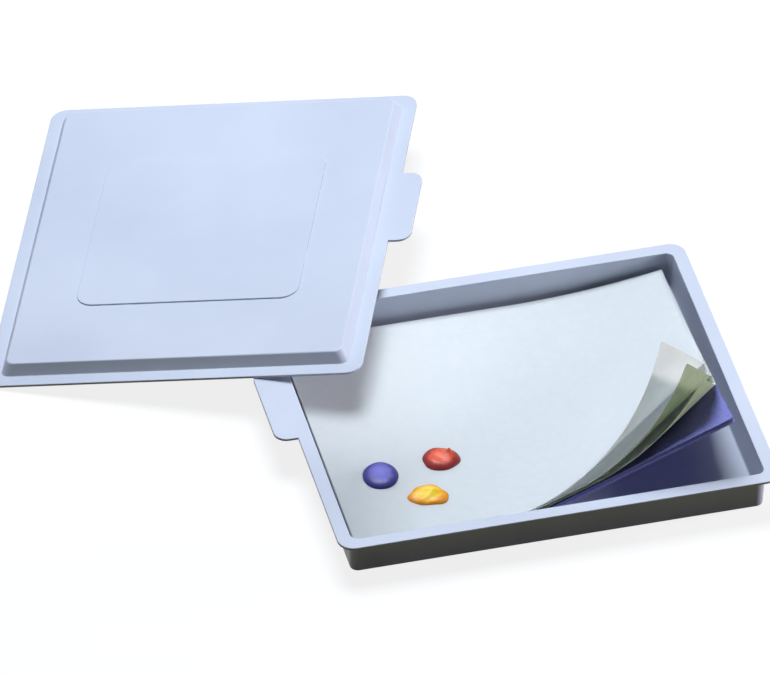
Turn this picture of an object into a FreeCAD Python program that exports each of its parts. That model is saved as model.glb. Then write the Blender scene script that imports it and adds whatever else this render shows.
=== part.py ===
# A wet palette for water-based paint: a formed plastic tray with a wet sponge and sheets of
# palette paper in it, three dabs of paint on the paper, and the lid leaning on the tray's rim.
# The origin is under the middle of the tray's floor, X runs along the tray and +Z is up. Sizes in mm.
import FreeCAD, Part

import math
import os

import Sketcher

from FreeCAD import Placement, Rotation, Vector

doc = FreeCAD.newDocument("wet_palette")

# Driving dimensions
SIZES = {
    # Tray and lid are formed from the same plastic sheet and share one rim
    "tray_length": 222.0,
    "tray_width": 190.0,
    "tray_height": 21.0,
    "skin": 1.2,
    "flange_width": 7.0,
    "rim_radius": 8.0,
    "opening_radius": 4.0,
    "wall_lean": 1.2,
    "edge_round": 0.9,
    "rim_round": 0.45,
    # Pull tab, the same on both shells
    "tab_length": 54.0,
    "tab_reach": 11.0,
    "tab_offset": 20.0,
    "tab_radius": 6.5,
    # Raised middle of the lid and its plain plaque
    "lid_rise": 5.8,
    "lid_lean": 3.1,
    "plaque_across": 113.0,
    "plaque_along": 115.0,
    "plaque_rise": 0.8,
    "plaque_radius": 9.0,
    # Place of the lid's front left corner on the table, and how far the lid is turned
    "lid_corner_x": -246.7,
    "lid_corner_y": 91.7,
    "lid_turn_angle": 21.5,
    "rest_gap": 0.2,
    # Sponge and sheets of paper, all cut to one outline a little smaller than the tray's floor
    "layer_clearance": 3.6,
    "sponge_thickness": 2.8,
    "sheet_thickness": 0.4,
    "layer_gap": 0.7,
    # The front right corner is peeled up along fold lines that fan out from the front edge. The flat
    # part is measured from the left, so that it holds the paint, and where the fan ends from the right
    "flat_front": 45.2,
    "flat_rear": 119.5,
    "fan_end": 107.3,
    "peel_turn_angle": 27.15,
    # Each sheet then curls about its own radius, the lower ones from further out than the top one
    "curl_slant_angle": 35.9,
    "bottom_curl": 41.7,
    "middle_curl": 36.8,
    "top_curl": 37.1,
    "bottom_curl_start": 77.2,
    "middle_curl_start": 87.2,
    "blunt_corner": 1.0,
    # Dabs of paint: place from the paper's left and front edges, half widths along X and Y, and height
    "blue_from_left": 24.1,
    "blue_from_front": 53.6,
    "blue_across": 9.0,
    "blue_along": 10.2,
    "blue_height": 3.0,
    "red_from_left": 55.9,
    "red_from_front": 58.7,
    "red_across": 9.8,
    "red_along": 8.6,
    "red_height": 4.2,
    "yellow_from_left": 43.3,
    "yellow_from_front": 33.6,
    "yellow_across": 10.9,
    "yellow_along": 8.2,
    "yellow_height": 4.6,
    # Pulled-up peak of the red dab, placed from the dab's middle
    "peak_radius": 2.6,
    "peak_tip": 0.4,
    "peak_height": 6.2,
    "peak_right": 5.0,
    "peak_back": 1.4,
}

SHEETS = ("bottom", "middle", "top")

# Sizes that follow from the driving ones
DERIVED = {
    "layer_length": "=tray_length - 2 * (flange_width + wall_lean + layer_clearance)",
    "layer_width": "=tray_width - 2 * (flange_width + wall_lean + layer_clearance)",
    "paper_top": f"=skin + sponge_thickness + {len(SHEETS)} * (sheet_thickness + layer_gap)",
    "fan_start": "=layer_length - flat_front",
    "fan_rear": "=layer_length - flat_rear",
    "top_curl_start": "=fan_end",
}

sheet = doc.addObject("Spreadsheet::Sheet", "sizes")
for row, (alias, value) in enumerate({**SIZES, **DERIVED}.items(), start=1):
    sheet.set(f"A{row}", alias)
    sheet.set(f"B{row}", str(value))
    sheet.setAlias(f"B{row}", alias)
doc.recompute()


def size(alias):
    """Value of one cell of the sheet."""
    return float(sheet.get(alias))


# Helpers for bodies and sketches

def new_body(name):
    """Empty body with its label."""
    body = doc.addObject("PartDesign::Body", name)
    body.Label = name
    return body


def flat_sketch(body, name, height="0"):
    """Sketch on the body's own XY plane, raised by an expression."""
    plane = next(item for item in body.Origin.OriginFeatures if item.Role == "XY_Plane")
    sketch = body.newObject("Sketcher::SketchObject", name)
    sketch.AttachmentSupport = [(plane, "")]
    sketch.MapMode = "FlatFace"
    sketch.setExpression("AttachmentOffset.Base.z", height)
    return sketch


def rounded_rectangle(sketch, across, along, radius):
    """Rectangle with round corners about the origin; the three sizes are expressions."""
    half_x, half_y, round_by = 50.0, 40.0, 5.0
    corner_x = half_x - round_by
    corner_y = half_y - round_by
    lines = [
        Part.LineSegment(Vector(-corner_x, -half_y, 0), Vector(corner_x, -half_y, 0)),
        Part.LineSegment(Vector(half_x, -corner_y, 0), Vector(half_x, corner_y, 0)),
        Part.LineSegment(Vector(corner_x, half_y, 0), Vector(-corner_x, half_y, 0)),
        Part.LineSegment(Vector(-half_x, corner_y, 0), Vector(-half_x, -corner_y, 0)),
    ]
    centres = [(corner_x, -corner_y), (corner_x, corner_y), (-corner_x, corner_y), (-corner_x, -corner_y)]
    for line in lines:
        sketch.addGeometry(line)
    for quarter, (x, y) in enumerate(centres):
        start = math.radians(-90 + 90 * quarter)
        circle = Part.Circle(Vector(x, y, 0), Vector(0, 0, 1), round_by)
        sketch.addGeometry(Part.ArcOfCircle(circle, start, start + math.pi / 2))
    for quarter in range(4):
        sketch.addConstraint(Sketcher.Constraint("Tangent", quarter, 2, 4 + quarter, 1))
        sketch.addConstraint(Sketcher.Constraint("Tangent", 4 + quarter, 2, (quarter + 1) % 4, 1))
    for quarter in range(3):
        sketch.addConstraint(Sketcher.Constraint("Equal", 4, 5 + quarter))
    sketch.addConstraint(Sketcher.Constraint("Horizontal", 2))
    sketch.addConstraint(Sketcher.Constraint("Vertical", 3))
    sketch.addConstraint(Sketcher.Constraint("Symmetric", 0, 1, 0, 2, -2))
    sketch.addConstraint(Sketcher.Constraint("Symmetric", 1, 1, 1, 2, -1))
    named = {
        "across": (Sketcher.Constraint("DistanceX", 3, 1, 1, 1, 2 * half_x), across),
        "along": (Sketcher.Constraint("DistanceY", 0, 1, 2, 1, 2 * half_y), along),
        "corner": (Sketcher.Constraint("Radius", 4, round_by), radius),
    }
    for label, (constraint, expression) in named.items():
        index = sketch.addConstraint(constraint)
        sketch.renameConstraint(index, label)
        sketch.setExpression(f"Constraints.{label}", expression)


def plate(body, name, height, thickness, across, along, radius):
    """Pad of a rounded rectangle; returns its sketch."""
    sketch = flat_sketch(body, name + "_outline", height)
    rounded_rectangle(sketch, across, along, radius)
    pad = body.newObject("PartDesign::Pad", name)
    pad.Profile = sketch
    pad.setExpression("Length", thickness)
    return sketch


def tapered(body, kind, name, low, high):
    """Loft between two rounded rectangles, each given as height, across, along and radius."""
    sketches = []
    for label, (height, across, along, radius) in (("low", low), ("high", high)):
        sketch = flat_sketch(body, f"{name}_{label}", height)
        rounded_rectangle(sketch, across, along, radius)
        sketches.append(sketch)
    loft = body.newObject("PartDesign::" + kind, name)
    loft.Profile = sketches[0]
    loft.Sections = [sketches[1]]
    loft.Ruled = True
    return loft


def round_level_edges(body, name, heights, radius):
    """Fillet on every edge that lies wholly at one of the heights."""
    doc.recompute()
    base = body.Tip
    edges = []
    for number, edge in enumerate(base.Shape.Edges, start=1):
        levels = [vertex.Z for vertex in edge.Vertexes]
        if any(all(abs(level - height) < 1e-4 for level in levels) for height in heights):
            edges.append(f"Edge{number}")
    fillet = body.newObject("PartDesign::Fillet", name)
    fillet.Base = (base, edges)
    fillet.setExpression("Radius", radius)


# Expressions that several pieces share
OPEN_LENGTH = "(sizes.tray_length - 2 * sizes.flange_width)"
OPEN_WIDTH = "(sizes.tray_width - 2 * sizes.flange_width)"
TAB_DEPTH = "(2 * sizes.tab_reach)"


def make_tray():
    """Shallow open tray with leaning walls, a flat flange and a tab on its left short side."""
    body = new_body("tray")
    tapered(
        body, "AdditiveLoft", "walls",
        ("0",
         f"{OPEN_LENGTH} + 2 * (sizes.skin - sizes.wall_lean)",
         f"{OPEN_WIDTH} + 2 * (sizes.skin - sizes.wall_lean)",
         "sizes.opening_radius + sizes.skin - sizes.wall_lean"),
        ("sizes.tray_height",
         f"{OPEN_LENGTH} + 2 * sizes.skin",
         f"{OPEN_WIDTH} + 2 * sizes.skin",
         "sizes.opening_radius + sizes.skin"))
    under_flange = "sizes.tray_height - sizes.skin"
    plate(body, "flange", under_flange, "sizes.skin", "sizes.tray_length", "sizes.tray_width",
          "sizes.rim_radius")
    tab = plate(body, "pull_tab", under_flange, "sizes.skin", TAB_DEPTH, "sizes.tab_length",
                "sizes.tab_radius")
    tab.setExpression("AttachmentOffset.Base.x", "-sizes.tray_length / 2")
    tab.setExpression("AttachmentOffset.Base.y", "sizes.tab_offset")
    doc.recompute()
    tapered(
        body, "SubtractiveLoft", "well",
        ("sizes.skin",
         f"{OPEN_LENGTH} - 2 * sizes.wall_lean",
         f"{OPEN_WIDTH} - 2 * sizes.wall_lean",
         "sizes.opening_radius - sizes.wall_lean"),
        ("sizes.tray_height", OPEN_LENGTH, OPEN_WIDTH, "sizes.opening_radius"))
    round_level_edges(body, "soft_edges", (0.0, size("skin")), "sizes.edge_round")
    round_level_edges(body, "rim_edges", (size("tray_height"),), "sizes.rim_round")
    return body


def make_lid():
    """Low lid: the tray's flange and tab with a raised hollow middle that bears a bare plaque."""
    body = new_body("lid")
    plate(body, "flange", "0", "sizes.skin", "sizes.tray_width", "sizes.tray_length", "sizes.rim_radius")
    tab = plate(body, "pull_tab", "0", "sizes.skin", TAB_DEPTH, "sizes.tab_length", "sizes.tab_radius")
    tab.setExpression("AttachmentOffset.Base.x", "sizes.tray_width / 2")
    tab.setExpression("AttachmentOffset.Base.y", "sizes.tab_offset")
    tapered(
        body, "AdditiveLoft", "raised_middle",
        ("sizes.skin", OPEN_WIDTH, OPEN_LENGTH, "sizes.opening_radius"),
        ("sizes.skin + sizes.lid_rise",
         f"{OPEN_WIDTH} - 2 * sizes.lid_lean",
         f"{OPEN_LENGTH} - 2 * sizes.lid_lean",
         "sizes.opening_radius"))
    doc.recompute()
    tapered(
        body, "SubtractiveLoft", "hollow",
        ("0",
         f"{OPEN_WIDTH} - 2 * sizes.skin",
         f"{OPEN_LENGTH} - 2 * sizes.skin",
         "sizes.opening_radius - sizes.skin"),
        ("sizes.lid_rise",
         f"{OPEN_WIDTH} - 2 * (sizes.skin + sizes.lid_lean)",
         f"{OPEN_LENGTH} - 2 * (sizes.skin + sizes.lid_lean)",
         "sizes.opening_radius - sizes.skin"))
    top = size("skin") + size("lid_rise")
    round_level_edges(body, "soft_edges", (top,), "sizes.edge_round")
    round_level_edges(body, "rim_edges", (size("skin"),), "sizes.rim_round")
    plate(body, "plaque", "sizes.skin + sizes.lid_rise", "sizes.plaque_rise",
          "sizes.plaque_across", "sizes.plaque_along", "sizes.plaque_radius")
    round_level_edges(body, "plaque_edges", (top + size("plaque_rise"),), "sizes.plaque_rise / 2")
    body.Placement = lid_rest()
    return body


def lid_rest():
    """The lid's left edge lies on the table and its front flange on the tray's left rim or tab."""
    turn = math.radians(size("lid_turn_angle"))
    corner = Vector(size("lid_corner_x"), size("lid_corner_y"), 0)
    uphill = Vector(math.cos(turn), -math.sin(turn), 0)
    rim_x = -size("tray_length") / 2
    flange_shift = size("flange_width") * math.sin(turn)
    rim_run = (rim_x - corner.x - flange_shift) / math.cos(turn)
    tab_round = Vector(
        rim_x - size("tab_reach") + size("tab_radius"),
        size("tab_offset") + size("tab_length") / 2 - size("tab_radius"),
        0)
    tab_run = (tab_round - corner).dot(uphill) - size("tab_radius")
    rise = size("tray_height") + size("rest_gap")
    tilt = math.degrees(math.atan(rise / min(rim_run, tab_run)))
    to_corner = Placement(Vector(size("tray_width") / 2, size("tray_length") / 2, 0), Rotation())
    lean = Placement(Vector(), Rotation(Vector(0, 1, 0), -tilt))
    yaw = Placement(corner, Rotation(Vector(0, 0, 1), -size("lid_turn_angle")))
    return yaw * lean * to_corner


# Sponge and sheets

# Fold lines that end on the rear edge, then on the right edge, then those of a sheet's curl
REAR_LINES = 6
RIGHT_LINES = 8
CURL_LINES = 14


def fan_folds():
    """Fold lines of the peel, each as its front end, its far end and the angle of the fold."""
    half_length, half_width = size("layer_length") / 2, size("layer_width") / 2
    start, end = size("fan_start"), size("fan_end")
    drop = 2 * half_width - end * math.tan(math.radians(size("curl_slant_angle")))
    steps = REAR_LINES + RIGHT_LINES
    bend = size("peel_turn_angle") / (steps + 1)
    folds = []
    for step in range(steps + 1):
        front = Vector(half_length - start + (start - end) * step / steps, -half_width, 0)
        if step <= REAR_LINES:
            far = Vector(half_length - size("fan_rear") * (1 - step / REAR_LINES), half_width, 0)
        else:
            far = Vector(half_length, half_width - drop * (step - REAR_LINES) / RIGHT_LINES, 0)
        folds.append((front, far, bend))
    return folds


def slanted_line(left):
    """Ends of a line across the peeled corner, given what is left of the front edge beyond it."""
    half_length, half_width = size("layer_length") / 2, size("layer_width") / 2
    reach = left * math.tan(math.radians(size("curl_slant_angle")))
    return Vector(half_length - left, -half_width, 0), Vector(half_length, reach - half_width, 0)


def curl_folds(curl):
    """Parallel fold lines of one sheet's curl, from where it starts to the blunt corner."""
    start = size(curl + "_start")
    spacing = (start - size("blunt_corner")) / CURL_LINES
    bend = math.degrees(spacing * math.sin(math.radians(size("curl_slant_angle"))) / size(curl))
    return [(*slanted_line(start - spacing * step), bend) for step in range(1, CURL_LINES + 1)]


def make_layer(name, offset, thickness, folds):
    """Thin rectangular layer folded up at its front right corner, the given offset over the floor.

    Every layer bends with the sponge's underside along the fan, and then along folds of its own.
    """
    half_length, half_width = size("layer_length") / 2, size("layer_width") / 2
    left_edge = (Vector(-half_length, -half_width, 0), Vector(-half_length, half_width, 0), 0.0)
    steps = [(fold, 0.0) for fold in [left_edge] + fan_folds()]
    steps += [(fold, offset) for fold in folds]
    carry = Placement(Vector(0, 0, size("skin")), Rotation())
    sections = []
    for (front, far, bend), pivot in steps:
        normal = carry.Rotation.multVec(Vector(0, 0, 1))
        start = carry.multVec(front) + normal * pivot
        end = carry.multVec(far) + normal * pivot
        halfway = Rotation(end - start, -bend / 2).multVec(normal)
        under = halfway * (offset - pivot)
        over = under + halfway * thickness
        points = [start + under, end + under, end + over, start + over]
        sections.append(Part.makePolygon(points + points[:1]))
        carry = Placement(Vector(), Rotation(end - start, -bend), start) * carry
    layer = doc.addObject("Part::Feature", name)
    layer.Label = name
    layer.Shape = Part.makeLoft(sections, True, True)
    return layer


def make_layers():
    """Wet sponge on the tray's floor and three sheets of paper on it, the top one curled most."""
    straight_end = (*slanted_line(size("blunt_corner")), 0.0)
    layers = [make_layer("sponge", 0.0, size("sponge_thickness"), [straight_end])]
    offset = size("sponge_thickness") + size("layer_gap")
    for name in SHEETS:
        folds = curl_folds(name + "_curl")
        layers.append(make_layer(name + "_sheet", offset, size("sheet_thickness"), folds))
        offset += size("sheet_thickness") + size("layer_gap")
    return layers


# Paint

def dome(name, colour):
    """Half of an ellipsoid, flat side down."""
    half = doc.addObject("Part::Ellipsoid", name)
    half.setExpression("Radius1", f"sizes.{colour}_height")
    half.setExpression("Radius2", f"sizes.{colour}_across")
    half.setExpression("Radius3", f"sizes.{colour}_along")
    half.Angle1 = 0
    return half


def make_paint():
    """Three squeezed dabs of paint on the top sheet; the red one ends in a pulled-up peak."""
    dabs = []
    for colour in ("blue", "red", "yellow"):
        name = colour + "_paint"
        if colour == "red":
            peak = doc.addObject("Part::Cone", "red_peak")
            peak.setExpression("Radius1", "sizes.peak_radius")
            peak.setExpression("Radius2", "sizes.peak_tip")
            peak.setExpression("Height", "sizes.peak_height")
            peak.setExpression("Placement.Base.x", "sizes.peak_right")
            peak.setExpression("Placement.Base.y", "sizes.peak_back")
            dab = doc.addObject("Part::Fuse", name)
            dab.Base = dome("red_mound", colour)
            dab.Tool = peak
        else:
            dab = dome(name, colour)
        dab.Label = name
        dab.setExpression("Placement.Base.x", f"sizes.{colour}_from_left - sizes.layer_length / 2")
        dab.setExpression("Placement.Base.y", f"sizes.{colour}_from_front - sizes.layer_width / 2")
        dab.setExpression("Placement.Base.z", "sizes.paper_top")
        dabs.append(dab)
    return dabs


tray = make_tray()
lid = make_lid()
layers = make_layers()
paint = make_paint()
doc.recompute()

# Every object has to be sound before anything is written
pieces = [tray, lid] + layers + paint
for item in doc.Objects:
    if "Invalid" in item.State or "Error" in item.State:
        raise RuntimeError(f"{item.Name} failed: {item.State}")
for piece in pieces:
    shape = piece.Shape
    if shape.isNull() or not shape.isValid() or len(shape.Solids) != 1:
        raise RuntimeError(f"{piece.Label} is not one sound solid")

os.makedirs("parts", exist_ok=True)
for piece in pieces:
    piece.Shape.exportStep(f"parts/{piece.Label}.step")
    box = piece.Shape.BoundBox
    print(f"{piece.Label}: volume {piece.Shape.Volume:.0f}, "
          f"x {box.XMin:.1f} {box.XMax:.1f}, y {box.YMin:.1f} {box.YMax:.1f}, z {box.ZMin:.1f} {box.ZMax:.1f}")
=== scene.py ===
import math

import bpy
from mathutils import Matrix, Vector, noise


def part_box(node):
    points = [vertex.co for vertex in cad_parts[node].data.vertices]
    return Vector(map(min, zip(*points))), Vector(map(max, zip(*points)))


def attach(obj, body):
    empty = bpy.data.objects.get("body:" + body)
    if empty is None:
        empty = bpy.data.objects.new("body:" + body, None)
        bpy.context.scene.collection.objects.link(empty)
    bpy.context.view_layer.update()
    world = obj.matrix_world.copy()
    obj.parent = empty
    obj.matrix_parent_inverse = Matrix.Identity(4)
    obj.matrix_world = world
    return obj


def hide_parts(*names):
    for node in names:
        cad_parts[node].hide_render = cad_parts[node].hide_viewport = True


# Looks of the wet palette: two shells of formed polystyrene, a wet sponge, sheets of palette paper with
# the front right corner peeled up, and three dabs of paint. Lengths are in millimetres until a piece is
# made, and the sizes of the layers and their peel repeat those of the solids.
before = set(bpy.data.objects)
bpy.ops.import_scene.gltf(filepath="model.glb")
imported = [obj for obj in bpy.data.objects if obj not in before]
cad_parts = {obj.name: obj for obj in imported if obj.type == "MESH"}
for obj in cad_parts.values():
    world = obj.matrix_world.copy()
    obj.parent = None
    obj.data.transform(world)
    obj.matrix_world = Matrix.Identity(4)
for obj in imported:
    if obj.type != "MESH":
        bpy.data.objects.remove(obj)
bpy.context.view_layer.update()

MM = 0.001

# Stack of layers in the tray
TRAY_FLOOR = 1.2
LAYER_LENGTH = 198.4
LAYER_WIDTH = 166.4
HALF_LENGTH = LAYER_LENGTH / 2
HALF_WIDTH = LAYER_WIDTH / 2
SPONGE_THICKNESS = 2.8
SHEET_THICKNESS = 0.4
LAYER_GAP = 0.7

# Peel of the front right corner: places on the front and rear edges are measured back from the right
FAN_START = 153.2
FAN_REAR = 78.9
FAN_END = 107.3
PEEL_TURN = math.radians(27.15)
CURL_SLANT = math.radians(35.9)
BLUNT_CORNER = 1.0
# Each sheet's curl: its radius, and where it starts on the front edge
CURLS = {
    "bottom_sheet": (41.7, 77.2),
    "middle_sheet": (36.8, 87.2),
    "top_sheet": (37.1, FAN_END),
}

# Fineness of the meshes
REAR_LINES = 24
RIGHT_LINES = 32
CURL_LINES = 56
POINTS_ACROSS = 48
DAB_RINGS = 40
DAB_SPOKES = 96

# Widths of the surface patterns, the fine ones drawn coarser than real ones
TONE_DRIFT = 85.0
RUBBED_PATCH = 16.0
ORANGE_PEEL = 1.4
FIBRE_CLOUD = 5.0
PAPER_TOOTH = 0.9
SPONGE_PORE = 2.2
DYE_PATCH = 22.0
SKIN_WAVE = 4.0
# Depths of their relief
ORANGE_PEEL_DEPTH = 0.04
PAPER_TOOTH_DEPTH = 0.03
SPONGE_PORE_DEPTH = 0.3
PAINT_RIDGE_DEPTH = 0.25
SKIN_WAVE_DEPTH = 0.1

# Table under the palette, a little lower than the tray's underside so that no faces coincide
FLOOR_HALF = 4000.0
FLOOR_DROP = -0.2
# Share of the table's white that stays where a shadow falls
FLOOR_GLOW = 0.84

# Camera of the photo: a long lens that looks at one point of the table
IMAGE_WIDTH = 770
PIXELS_PER_MM = 2.0095
LOOK_AT = Vector((-44.9, 82.7, 0.0))
AZIMUTH = math.radians(-13.97)
ELEVATION = math.radians(39.47)
DISTANCE = 6000.0
SENSOR = 36.0


# Materials

def linear(code):
    """sRGB hex colour as linear red, green, blue and alpha."""
    values = []
    for start in (0, 2, 4):
        part = int(code[start:start + 2], 16) / 255
        values.append(part / 12.92 if part <= 0.04045 else ((part + 0.055) / 1.055) ** 2.4)
    return (*values, 1.0)


def per_mm(size):
    """Scale of a texture whose features are this many millimetres wide."""
    return 1.0 / (size * MM)


def add_node(tree, kind, inputs=None, **settings):
    """Adds a node, whose inputs are values or the sockets that feed them."""
    node = tree.nodes.new("ShaderNode" + kind)
    for name, value in settings.items():
        setattr(node, name, value)
    for key, value in (inputs or {}).items():
        if isinstance(value, bpy.types.NodeSocket):
            tree.links.new(value, node.inputs[key])
        else:
            node.inputs[key].default_value = value
    return node


def clouds(tree, place, width, **inputs):
    """Soft noise between 0 and 1, with features of this width."""
    return add_node(tree, "TexNoise", {"Vector": place, "Scale": per_mm(width), **inputs}).outputs["Fac"]


def colour_ramp(tree, value, *stops):
    """Colour that follows a value through stops, each a place and a hex colour."""
    node = add_node(tree, "ValToRGB", {"Fac": value})
    elements = node.color_ramp.elements
    for number, (place, code) in enumerate(stops):
        element = elements[number] if number < len(elements) else elements.new(place)
        element.position = place
        element.color = linear(code)
    return node.outputs["Color"]


def relief(tree, height, depth, strength):
    """Normal of a surface that a height between 0 and 1 raises by up to this depth."""
    bump = add_node(tree, "Bump", {"Height": height, "Strength": strength, "Distance": depth * MM})
    return bump.outputs["Normal"]


def arithmetic(tree, operation, first, second):
    """Result of one operation on two values."""
    return add_node(tree, "Math", {0: first, 1: second}, operation=operation).outputs["Value"]


def empty_tree(owner):
    """Node tree of a new material or world, cleared."""
    owner.use_nodes = True
    owner.node_tree.nodes.clear()
    return owner.node_tree


def new_material(name, sockets, pattern):
    """Material with one shader: fixed sockets, and the links that pattern makes from a tree and a place."""
    material = bpy.data.materials.new(name)
    tree = empty_tree(material)
    place = add_node(tree, "TexCoord").outputs["Object"]
    shader = add_node(tree, "BsdfPrincipled", {**sockets, **pattern(tree, place)})
    add_node(tree, "OutputMaterial", {"Surface": shader.outputs["BSDF"]})
    return material


def formed_skin(tree, place):
    """Milky tone that drifts over the plastic, rubbed patches and orange peel."""
    drift = clouds(tree, place, TONE_DRIFT, Detail=3.0)
    rubbed = clouds(tree, place, RUBBED_PATCH, Detail=5.0, Roughness=0.65)
    polish = add_node(tree, "MapRange", {
        "Value": rubbed, "From Min": 0.3, "From Max": 0.7, "To Min": 0.36, "To Max": 0.5})
    peel = clouds(tree, place, ORANGE_PEEL, Detail=2.0)
    return {
        "Base Color": colour_ramp(tree, drift, (0.3, "b1b7c5"), (0.7, "bbc1ce")),
        "Roughness": polish.outputs["Result"],
        "Normal": relief(tree, peel, ORANGE_PEEL_DEPTH, strength=0.18),
    }


def paper_fibres(dark, light):
    """Cloudy fibres of a parchment sheet between two tones, with a fine tooth."""
    def pattern(tree, place):
        fibres = clouds(tree, place, FIBRE_CLOUD, Detail=8.0, Roughness=0.7)
        tooth = clouds(tree, place, PAPER_TOOTH, Detail=3.0)
        return {
            "Base Color": colour_ramp(tree, fibres, (0.35, dark), (0.65, light)),
            "Normal": relief(tree, tooth, PAPER_TOOTH_DEPTH, strength=0.2),
        }
    return pattern


def sponge_pores(tree, place):
    """Open pores in dyed cellulose, darkened with painted shade, with paler walls between them."""
    cells = add_node(tree, "TexVoronoi", {"Vector": place, "Scale": per_mm(SPONGE_PORE), "Randomness": 1.0})
    pores = cells.outputs["Distance"]
    dye = clouds(tree, place, DYE_PATCH, Detail=4.0)
    colour = add_node(tree, "Mix", {
        "Factor": 0.35,
        "A": colour_ramp(tree, dye, (0.35, "6668ad"), (0.65, "7476b6")),
        # Painted shade: the colour darkens towards the middle of each pore
        "B": colour_ramp(tree, pores, (0.05, "4e4f97"), (0.45, "7e80c2")),
    }, data_type="RGBA")
    return {
        "Base Color": colour.outputs["Result"],
        "Normal": relief(tree, pores, SPONGE_PORE_DEPTH, strength=0.5),
    }


def squeezed_paint(middle, half_widths, colours, streak):
    """Paint whose colour runs from a lighter crest through body to a darker rim, as painted light on its
    top and painted shade on its sides, mixed by streaks of this width from the tube.
    """
    crest, body, rim = colours

    def pattern(tree, place):
        centred = add_node(tree, "Mapping", {
            "Vector": place, "Location": (-middle.x * MM, -middle.y * MM, 0.0)})
        scaled = add_node(tree, "VectorMath", {
            0: centred.outputs["Vector"],
            1: (per_mm(half_widths.x), per_mm(half_widths.y), 0.0),
        }, operation="MULTIPLY")
        reach = add_node(tree, "VectorMath", {0: scaled.outputs["Vector"]}, operation="LENGTH")
        swirl = clouds(tree, place, streak, Detail=3.0, Distortion=1.6)
        half_swirl = arithmetic(tree, "MULTIPLY", swirl, 0.5)
        spread = arithmetic(tree, "ADD", reach.outputs["Value"], half_swirl)
        return {
            # Painted light and shade: lighter at the crest and darker towards the rim
            "Base Color": colour_ramp(tree, spread, (0.35, crest), (0.8, body), (1.0, rim)),
            "Normal": relief(tree, swirl, PAINT_RIDGE_DEPTH, strength=0.35),
        }
    return pattern


# High-impact polystyrene, formed warm over a mould: satin, slightly milky, soft at every edge
POLYSTYRENE = new_material("formed_polystyrene", {"IOR": 1.59, "Specular IOR Level": 0.35}, formed_skin)
# Parchment paper that holds water: matt and pale on its face, and thin enough for light to come through.
# The top sheet's back is pale too, and the backs of those below it are painted greyer and greener, as
# painted shade from the sheets above them
SHEER_PAPER = {
    "Roughness": 0.74,
    "IOR": 1.45,
    "Subsurface Weight": 0.8,
    "Subsurface Radius": (1.0, 1.0, 1.0),
    "Subsurface Scale": 1.5 * MM,
    "Transmission Weight": 0.45,
}
PAPER_FACE = new_material("palette_paper_face", SHEER_PAPER, paper_fibres("ebf4fd", "f0f7fe"))
PAPER_BACK = new_material("palette_paper_back", SHEER_PAPER, paper_fibres("f4f2e8", "faf8f0"))
# Painted shade: the backs of the lower sheets are darker and greener than the top sheet's back, for the
# shade that the sheets above cast on them
SHADED_PAPER_BACK = new_material("paper_back_painted_shade", SHEER_PAPER, paper_fibres("9aa380", "a6ae8c"))
PAPER_BACKS = {"bottom_sheet": SHADED_PAPER_BACK, "middle_sheet": SHADED_PAPER_BACK, "top_sheet": PAPER_BACK}
# Cellulose sponge, dyed through and wet, so its walls shine a little
SPONGE = new_material("wet_cellulose_sponge", {"Roughness": 0.6, "IOR": 1.4}, sponge_pores)
# Heavy-bodied acrylic paint, still wet
WET_PAINT = {"Roughness": 0.42, "IOR": 1.49, "Specular IOR Level": 0.35}


# Meshes

def new_piece(name, points, faces, materials, face_slots=None):
    """Mesh object from points in millimetres, smooth, with its materials."""
    mesh = bpy.data.meshes.new(name)
    mesh.from_pydata([point * MM for point in points], [], faces)
    for material in materials:
        mesh.materials.append(material)
    if face_slots:
        mesh.polygons.foreach_set("material_index", face_slots)
    mesh.polygons.foreach_set("use_smooth", [True] * len(faces))
    mesh.update()
    piece = bpy.data.objects.new(name, mesh)
    bpy.context.scene.collection.objects.link(piece)
    return piece


def fan_folds():
    """Fold lines of the peel, each as its front end, its far end and the angle of the fold."""
    drop = LAYER_WIDTH - FAN_END * math.tan(CURL_SLANT)
    steps = REAR_LINES + RIGHT_LINES
    folds = []
    for step in range(steps + 1):
        front = Vector((HALF_LENGTH - FAN_START + (FAN_START - FAN_END) * step / steps, -HALF_WIDTH, 0))
        if step <= REAR_LINES:
            far = Vector((HALF_LENGTH - FAN_REAR * (1 - step / REAR_LINES), HALF_WIDTH, 0))
        else:
            far = Vector((HALF_LENGTH, HALF_WIDTH - drop * (step - REAR_LINES) / RIGHT_LINES, 0))
        folds.append((front, far, PEEL_TURN / (steps + 1)))
    return folds


def curl_folds(start, radius=None):
    """Parallel fold lines from a start on the front edge to the blunt corner, unbent without a radius."""
    spacing = (start - BLUNT_CORNER) / CURL_LINES
    bend = spacing * math.sin(CURL_SLANT) / radius if radius else 0.0
    folds = []
    for step in range(1, CURL_LINES + 1):
        left = start - spacing * step
        front = Vector((HALF_LENGTH - left, -HALF_WIDTH, 0))
        far = Vector((HALF_LENGTH, left * math.tan(CURL_SLANT) - HALF_WIDTH, 0))
        folds.append((front, far, bend))
    return folds


def layer_rows(offset, folds):
    """Lines across a folded layer's underside, each as its two ends and its upward normal."""
    left_edge = (Vector((-HALF_LENGTH, -HALF_WIDTH, 0)), Vector((-HALF_LENGTH, HALF_WIDTH, 0)), 0.0)
    # The fan turns all layers about lines in the tray's floor, the curl turns each about its own underside
    steps = [(fold, 0.0) for fold in [left_edge] + fan_folds()]
    steps += [(fold, offset) for fold in folds]
    carry = Matrix.Translation((0, 0, TRAY_FLOOR))
    rows = []
    for (front, far, bend), pivot in steps:
        normal = carry.to_3x3() @ Vector((0, 0, 1))
        start = carry @ front + normal * pivot
        end = carry @ far + normal * pivot
        halfway = Matrix.Rotation(-bend / 2, 3, end - start) @ normal
        lift = halfway * (offset - pivot)
        rows.append((start + lift, end + lift, halfway))
        turn = Matrix.Rotation(-bend, 4, end - start)
        carry = Matrix.Translation(start) @ turn @ Matrix.Translation(-start) @ carry
    return rows


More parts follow.
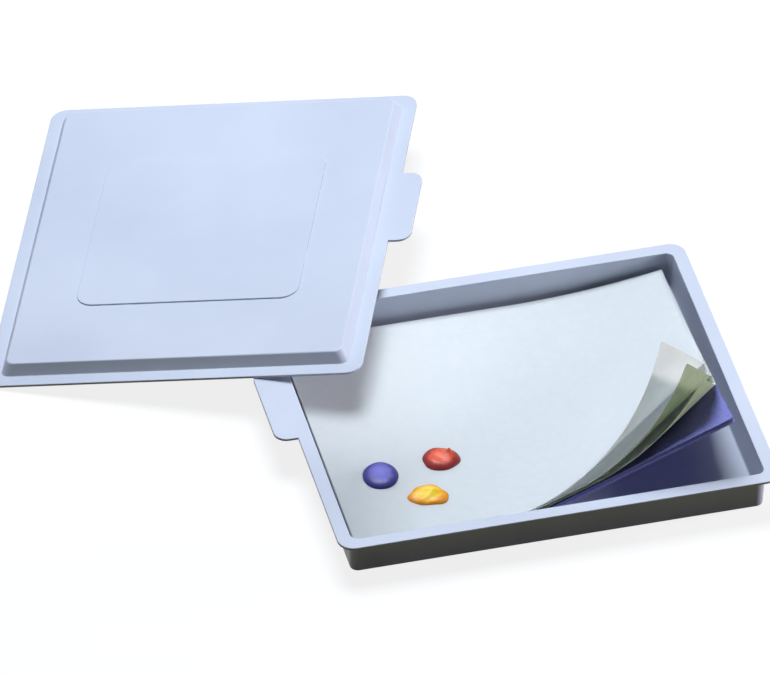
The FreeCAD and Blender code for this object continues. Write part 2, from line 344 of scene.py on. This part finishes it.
def layer_piece(name, offset, thickness, folds, materials, texture=None):
    """Closed thin layer; its upper face takes the first material, its underside and edges the last."""
    rows = layer_rows(offset, folds)
    across = POINTS_ACROSS
    under, over = [], []
    for start, end, normal in rows:
        for step in range(across):
            low = start.lerp(end, step / (across - 1))
            high = low + normal * thickness
            if texture:
                high -= normal * texture(high)
            under.append(low)
            over.append(high)
    points = under + over
    shift = len(under)
    faces, slots = [], []
    last = len(materials) - 1
    for row in range(len(rows) - 1):
        for step in range(across - 1):
            corner = row * across + step
            ring = (corner, corner + 1, corner + across + 1, corner + across)
            faces.append(ring)
            slots.append(last)
            faces.append(tuple(index + shift for index in reversed(ring)))
            slots.append(0)
    # Edge of the layer, once around, from its left rear corner
    front_edge = [row * across for row in range(len(rows))]
    far_edge = [row * across + across - 1 for row in range(len(rows))]
    left_edge = list(range(across))
    tip_edge = [(len(rows) - 1) * across + step for step in range(across)]
    rim = left_edge[::-1] + front_edge[1:] + tip_edge[1:] + far_edge[::-1][1:-1]
    for here, there in zip(rim, rim[1:] + rim[:1]):
        faces.append((here, here + shift, there + shift, there))
        slots.append(last)
    return new_piece(name, points, faces, materials, slots)


def open_pores(point):
    """Depth of the sponge's uneven skin below its flat face."""
    return SKIN_WAVE_DEPTH + SKIN_WAVE_DEPTH * noise.noise(point / SKIN_WAVE)


def dab_piece(name, middle, half_widths, turn, material, surface, outline):
    """Dab of paint on the paper: rings around its middle, raised by surface, out to its own outline."""
    spin = Matrix.Rotation(turn, 3, "Z")
    points = [middle + Vector((0, 0, surface(0.0, 0.0)))]
    for ring in range(1, DAB_RINGS + 1):
        reach = math.sin(math.pi / 2 * ring / DAB_RINGS)
        for spoke in range(DAB_SPOKES):
            angle = 2 * math.pi * spoke / DAB_SPOKES
            across = reach * math.cos(angle)
            along = reach * math.sin(angle)
            spread = outline(angle)
            points.append(middle + spin @ Vector((
                half_widths.x * spread * across,
                half_widths.y * spread * along,
                surface(across, along))))
    faces = [(0, 1 + spoke, 1 + (spoke + 1) % DAB_SPOKES) for spoke in range(DAB_SPOKES)]
    for ring in range(DAB_RINGS - 1):
        inner = 1 + ring * DAB_SPOKES
        outer = inner + DAB_SPOKES
        for spoke in range(DAB_SPOKES):
            after = (spoke + 1) % DAB_SPOKES
            faces.append((inner + spoke, outer + spoke, outer + after, inner + after))
    foot = 1 + (DAB_RINGS - 1) * DAB_SPOKES
    faces.append(tuple(foot + spoke for spoke in reversed(range(DAB_SPOKES))))
    return new_piece(name, points, faces, [material])


# Shapes of the dabs: heights in millimetres over a place that runs from -1 to 1 across and along the dab

def mound(height, across, along, steepness):
    """Rounded mound that falls to 0 at the rim."""
    rise = max(0.0, 1.0 - (across * across + along * along) ** (steepness / 2))
    return height * math.sqrt(rise)


def fading(across, along):
    """Share that falls from 1 in the middle of a dab to 0 at its rim."""
    return max(0.0, 1 - across * across - along * along)


def waves(height, across, along, slant):
    """Parallel waves of this height, with slant as how fast they run across and along."""
    return height * math.sin(slant[0] * across + slant[1] * along)


def blue_surface(across, along):
    """Flat-topped round drop with a slight dip behind its front lip."""
    dip_depth = 0.2
    dip_across = 0.1
    dip_along = -0.05
    dip_spread = 0.2
    away = (across - dip_across) ** 2 + (along - dip_along) ** 2
    dip = dip_depth * math.exp(-away / dip_spread)
    drop = mound(2.9, across, along, steepness=4.0)
    return drop - dip * fading(across, along)


def red_surface(across, along):
    """Drop with two soft folds and a thin peak pulled up at its rear right."""
    peak_height = 4.2
    peak_across = 0.44
    peak_along = 0.28
    peak_width = 0.17
    peak_stretch = 0.9
    peak_sharpness = 1.2
    away = math.hypot(across - peak_across, peak_stretch * (along - peak_along))
    peak = peak_height * math.exp(-((away / peak_width) ** peak_sharpness))
    folds = waves(0.3, across, along, slant=(4.5, 5.0))
    drop = mound(3.3, across, along, steepness=2.8)
    return drop + (folds + peak) * fading(across, along)


def yellow_surface(across, along):
    """Squeezed ridge that rises to a crest at its rear, with ribs that run down to the front."""
    crest_height = 1.9
    crest_across = 0.1
    crest_along = 0.3
    crest_width = 0.45
    crest_length = 0.35
    away = ((across - crest_across) / crest_width) ** 2 + ((along - crest_along) / crest_length) ** 2
    crest = crest_height * math.exp(-away)
    ribs = waves(0.32, across, along, slant=(7.0, -6.0))
    ridge = mound(2.4, across, along, steepness=2.4)
    return ridge + (crest + ribs) * fading(across, along)


def wobbly(amount, count, turn):
    """Outline that swells count times around the dab, with a finer ripple, never past its ellipse."""
    ripple = 0.4
    ripple_count = count + 3

    def outline(angle):
        wave = math.sin(count * angle + turn) + ripple * math.sin(ripple_count * angle + 2 * turn)
        return 1 - amount + amount * wave / (1 + ripple)
    return outline


# Shells keep their solids and take the plastic
for node in ("tray", "lid"):
    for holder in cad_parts[node].material_slots:
        holder.material = POLYSTYRENE

# Sponge and paper
sponge = layer_piece("sponge_pad", 0.0, SPONGE_THICKNESS, curl_folds(FAN_END), [SPONGE], open_pores)
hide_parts("sponge")
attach(sponge, "sponge")

sheet_offset = SPONGE_THICKNESS + LAYER_GAP
for node, (radius, start) in CURLS.items():
    folds = curl_folds(start, radius)
    sides = [PAPER_FACE, PAPER_BACKS[node]]
    paper = layer_piece(node + "_paper", sheet_offset, SHEET_THICKNESS, folds, sides)
    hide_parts(node)
    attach(paper, node)
    sheet_offset += SHEET_THICKNESS + LAYER_GAP

# Dabs of paint: colours of crest, body and rim, with the crest's painted light and the rim's painted shade,
# width of the streaks, turn on the paper in degrees, shape
DABS = {
    "blue_paint": {
        "colours": ("6764b4", "5451a4", "2f2c74"),
        "streak": 9.0,
        "turn": 0.0,
        "surface": blue_surface,
        "outline": wobbly(amount=0.03, count=2, turn=0.6),
    },
    "red_paint": {
        "colours": ("e8603c", "cd4222", "8a2622"),
        "streak": 5.0,
        "turn": -14.0,
        "surface": red_surface,
        "outline": wobbly(amount=0.05, count=3, turn=1.1),
    },
    "yellow_paint": {
        "colours": ("f8d432", "f2bb1a", "dd8a18"),
        "streak": 5.0,
        "turn": -14.0,
        "surface": yellow_surface,
        "outline": wobbly(amount=0.09, count=3, turn=math.pi),
    },
}
for node, look in DABS.items():
    low, high = (Vector(corner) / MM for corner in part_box(node))
    half_widths = (high - low) / 2
    middle = (low + high) / 2
    middle.z = low.z
    streaks = squeezed_paint(middle, half_widths, look["colours"], look["streak"])
    paint = new_material("acrylic_" + node, WET_PAINT, streaks)
    turn = math.radians(look["turn"])
    dab = dab_piece(node + "_dab", middle, half_widths, turn, paint, look["surface"], look["outline"])
    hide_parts(node)
    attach(dab, "top_sheet")


# Floor, light and camera

def blend(tree, share, first, second):
    """Shader that goes from first to second as share goes from 0 to 1."""
    return add_node(tree, "MixShader", {0: share, 1: first, 2: second}).outputs["Shader"]


def seen_directly(tree):
    """One where a ray comes from the camera, a gloss or a clear piece, and nought in bounced light."""
    rays = add_node(tree, "LightPath").outputs
    sharp = arithmetic(tree, "MAXIMUM", rays["Is Camera Ray"], rays["Is Glossy Ray"])
    return arithmetic(tree, "MAXIMUM", sharp, rays["Is Transmission Ray"])


def table_material():
    """Pale table to the eye and in gloss; dim and warm in bounced light, so upright walls stay dark."""
    material = bpy.data.materials.new("pale_table")
    tree = empty_tree(material)
    shaded = add_node(tree, "BsdfDiffuse", {"Color": linear("fdfdfd")}).outputs["BSDF"]
    white = add_node(tree, "Emission", {"Color": linear("ffffff"), "Strength": 1.0}).outputs["Emission"]
    pale = blend(tree, FLOOR_GLOW, shaded, white)
    dim = add_node(tree, "BsdfDiffuse", {"Color": linear("5c5320")}).outputs["BSDF"]
    add_node(tree, "OutputMaterial", {"Surface": blend(tree, seen_directly(tree), dim, pale)})
    return material


def soft_light(name, place, target, side, power, colour):
    """Square soft box that shines from one place to another."""
    lamp = bpy.data.lights.new(name, "AREA")
    lamp.size = side * MM
    lamp.energy = power
    lamp.color = linear(colour)[:3]
    holder = bpy.data.objects.new(name, lamp)
    holder.location = Vector(place) * MM
    aim = (Vector(target) - Vector(place)).normalized()
    holder.rotation_euler = aim.to_track_quat("-Z", "Y").to_euler()
    bpy.context.scene.collection.objects.link(holder)


def set_world():
    """Even pale surroundings to the eye, and a very weak cool light from all sides on the object."""
    world = bpy.data.worlds.new("studio")
    bpy.context.scene.world = world
    tree = empty_tree(world)
    dim = add_node(tree, "Background", {"Color": linear("c9c6f4"), "Strength": 0.02}).outputs["Background"]
    pale = add_node(tree, "Background", {"Color": linear("fbfbfc"), "Strength": 1.0}).outputs["Background"]
    add_node(tree, "OutputWorld", {"Surface": blend(tree, seen_directly(tree), dim, pale)})


corners = ((-1, -1), (1, -1), (1, 1), (-1, 1))
floor_points = [Vector((x * FLOOR_HALF, y * FLOOR_HALF, FLOOR_DROP)) for x, y in corners]
floor = new_piece("floor", floor_points, [(0, 1, 2, 3)], [table_material()])

# Lamps: each is centred behind the plane of the tray's front wall, which the photo shows dark, with its
# power in watts
LAMPS = {
    "key_soft_box": {
        "place": (-50, 400, 1100),
        "target": (-40, 40, 0),
        "side": 600,
        "power": 19.0,
        "colour": "edf6ff",
    },
    "violet_sky": {
        "place": (-700, 1000, 900),
        "target": (-60, 80, 0),
        "side": 900,
        "power": 1.5,
        "colour": "b9b2ff",
    },
    "side_fill": {
        "place": (950, -60, 190),
        "target": (60, -40, 40),
        "side": 160,
        "power": 8.0,
        "colour": "f6f2fb",
    },
}
for name, settings in LAMPS.items():
    soft_light(name, **settings)

set_world()

back = Vector((
    math.sin(AZIMUTH) * math.cos(ELEVATION),
    -math.cos(AZIMUTH) * math.cos(ELEVATION),
    math.sin(ELEVATION)))
lens = bpy.data.cameras.new("photo_camera")
lens.sensor_width = SENSOR
lens.lens = SENSOR * DISTANCE * PIXELS_PER_MM / IMAGE_WIDTH
camera = bpy.data.objects.new("photo_camera", lens)
camera.location = (LOOK_AT + back * DISTANCE) * MM
camera.rotation_euler = (-back).to_track_quat("-Z", "Y").to_euler()
bpy.context.scene.collection.objects.link(camera)
bpy.context.scene.camera = camera
bpy.context.scene.view_settings.view_transform = "Standard"
